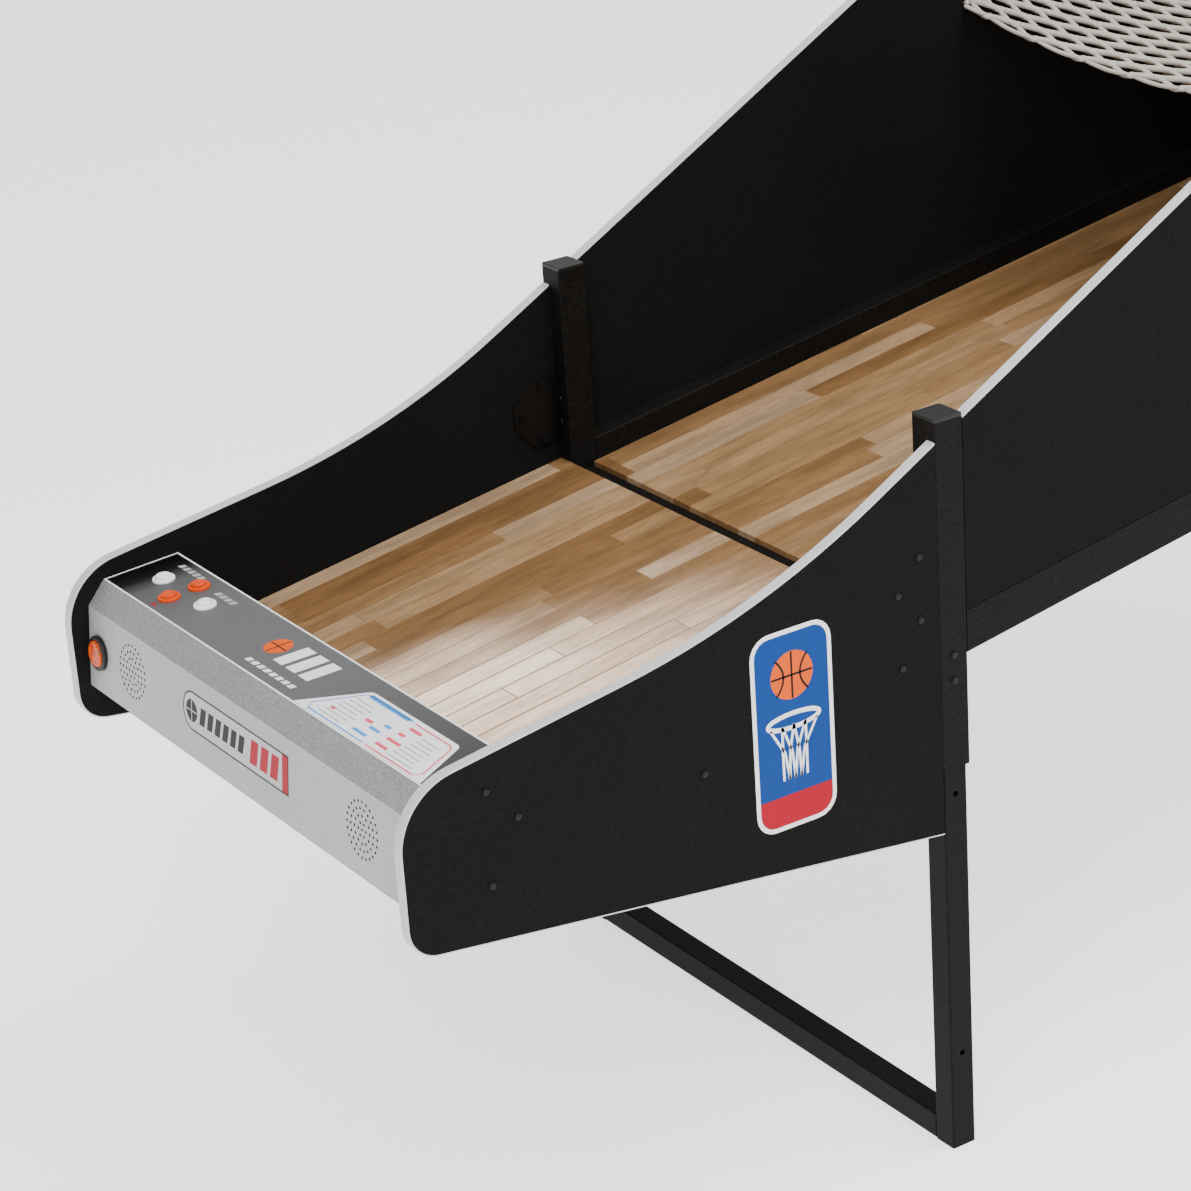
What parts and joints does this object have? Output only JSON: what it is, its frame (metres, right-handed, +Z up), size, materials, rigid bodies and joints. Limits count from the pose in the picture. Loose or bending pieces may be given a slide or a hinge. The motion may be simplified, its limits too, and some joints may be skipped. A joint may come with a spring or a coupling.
{
  "type": "basketball hoop machine",
  "caption": "Free-standing basketball game machine: sloping ball ramp between side panels, button console in front, hoop, net, backboard and scoreboard at the back.",
  "frame": {"origin": "on the floor, under the middle of the whole machine", "axes": "+Z up, +Y from the player to the backboard, +X to the player's right"},
  "size_m": [0.994, 2.56, 2.44],
  "materials": {
    "frame_steel": "black powder coat, satin",
    "board_black": "black melamine-faced board, matt",
    "t_mould": "light grey soft PVC",
    "ramp_wood": "printed plank pattern, satin varnish",
    "console_silver": "silver metallic paint",
    "cap_white": "gloss",
    "cap_orange": "gloss",
    "black_plastic": "moulded, satin",
    "zinc_steel": "zinc plated",
    "black_zinc": "black zinc",
    "backboard_white": "white laminate",
    "rim_orange": "orange enamel",
    "net_cord": "knotted nylon cord",
    "window_smoke": "smoked acrylic",
    "pcb_green": "solder resist"
  },
  "bodies": {
    "machine": {"corner_brackets": "black_zinc", "front_leg_right": "frame_steel", "front_leg_left": "frame_steel", "rear_leg_right": "frame_steel", "rear_leg_left": "frame_steel", "front_floor_bar": "frame_steel", "rear_floor_bar": "frame_steel", "front_post_right": "frame_steel", "front_post_left": "frame_steel", "rear_post_right": "frame_steel", "rear_post_left": "frame_steel", "post_caps": "black_plastic", "side_rail_right": "frame_steel", "side_rail_left": "frame_steel", "front_crossbar": "frame_steel", "rear_crossbar": "frame_steel", "top_crossbar": "frame_steel", "ramp_joists": "frame_steel", "front_panel_right": "board_black", "front_panel_left": "board_black", "front_trims": "t_mould", "rear_panel_right": "board_black", "rear_panel_left": "board_black", "rear_trims": "t_mould", "front_ramp": "ramp_wood", "rear_ramp": "ramp_wood", "ramp_cleats": "black_zinc", "back_panel": "board_black", "backboard": "backboard_white", "console_shell": "console_silver", "button_housings": "black_plastic", "start_housing": "black_plastic", "micro_switches": "black_plastic", "speaker_left": "black_plastic", "speaker_right": "black_plastic", "console_cover": "frame_steel", "control_board": "pcb_green", "power_supply": "zinc_steel", "power_inlet": "black_plastic", "hoop_ring": "rim_orange", "hoop_bracket": "rim_orange", "hoop_net": "net_cord", "sensor_bracket": "zinc_steel", "ball_net": "net_cord", "net_hooks": "zinc_steel", "sensor_cable": "black_plastic", "scoreboard_case": "frame_steel", "scoreboard_window": "window_smoke", "scoreboard_display": "black_plastic", "panel_bolts": "black_zinc", "frame_bolts": "black_zinc", "board_bolts": "zinc_steel", "hoop_bolts": "zinc_steel"},
    "button_left": {"button_left": "cap_white"},
    "button_back": {"button_back": "cap_orange"},
    "button_front": {"button_front": "cap_orange"},
    "button_right": {"button_right": "cap_white"},
    "start_button": {"start_button": "cap_orange"},
    "power_rocker": {"power_rocker": "black_plastic"},
    "score_lever": {"score_lever": "zinc_steel"}
  },
  "joints": [
    {"name": "button_left_press", "type": "slide", "parent": "machine", "child": "button_left", "axis": [0, 0.0596, -0.9982], "range_m": [0, 0.003], "stiffness_N_per_m": 400, "springref_m": -0.002},
    {"name": "button_back_press", "type": "slide", "parent": "machine", "child": "button_back", "axis": [0, 0.0596, -0.9982], "range_m": [0, 0.003], "stiffness_N_per_m": 400, "springref_m": -0.002},
    {"name": "button_front_press", "type": "slide", "parent": "machine", "child": "button_front", "axis": [0, 0.0596, -0.9982], "range_m": [0, 0.003], "stiffness_N_per_m": 400, "springref_m": -0.002},
    {"name": "button_right_press", "type": "slide", "parent": "machine", "child": "button_right", "axis": [0, 0.0596, -0.9982], "range_m": [0, 0.003], "stiffness_N_per_m": 400, "springref_m": -0.002},
    {"name": "start_press", "type": "slide", "parent": "machine", "child": "start_button", "axis": [0, 0.9948, -0.1018], "range_m": [0, 0.004], "stiffness_N_per_m": 400, "springref_m": -0.002},
    {"name": "power_rock", "type": "hinge", "parent": "machine", "child": "power_rocker", "pos_m": [0.27, -1.1728, 0.706], "axis": [1, 0, 0], "range_deg": [-8, 8]},
    {"name": "lever_swing", "type": "hinge", "parent": "machine", "child": "score_lever", "pos_m": [0, 1.1, 1.949], "axis": [1, 0, 0], "range_deg": [0, 28], "stiffness_Nm_per_rad": 0.05, "springref_deg": -34.38}
  ]
}
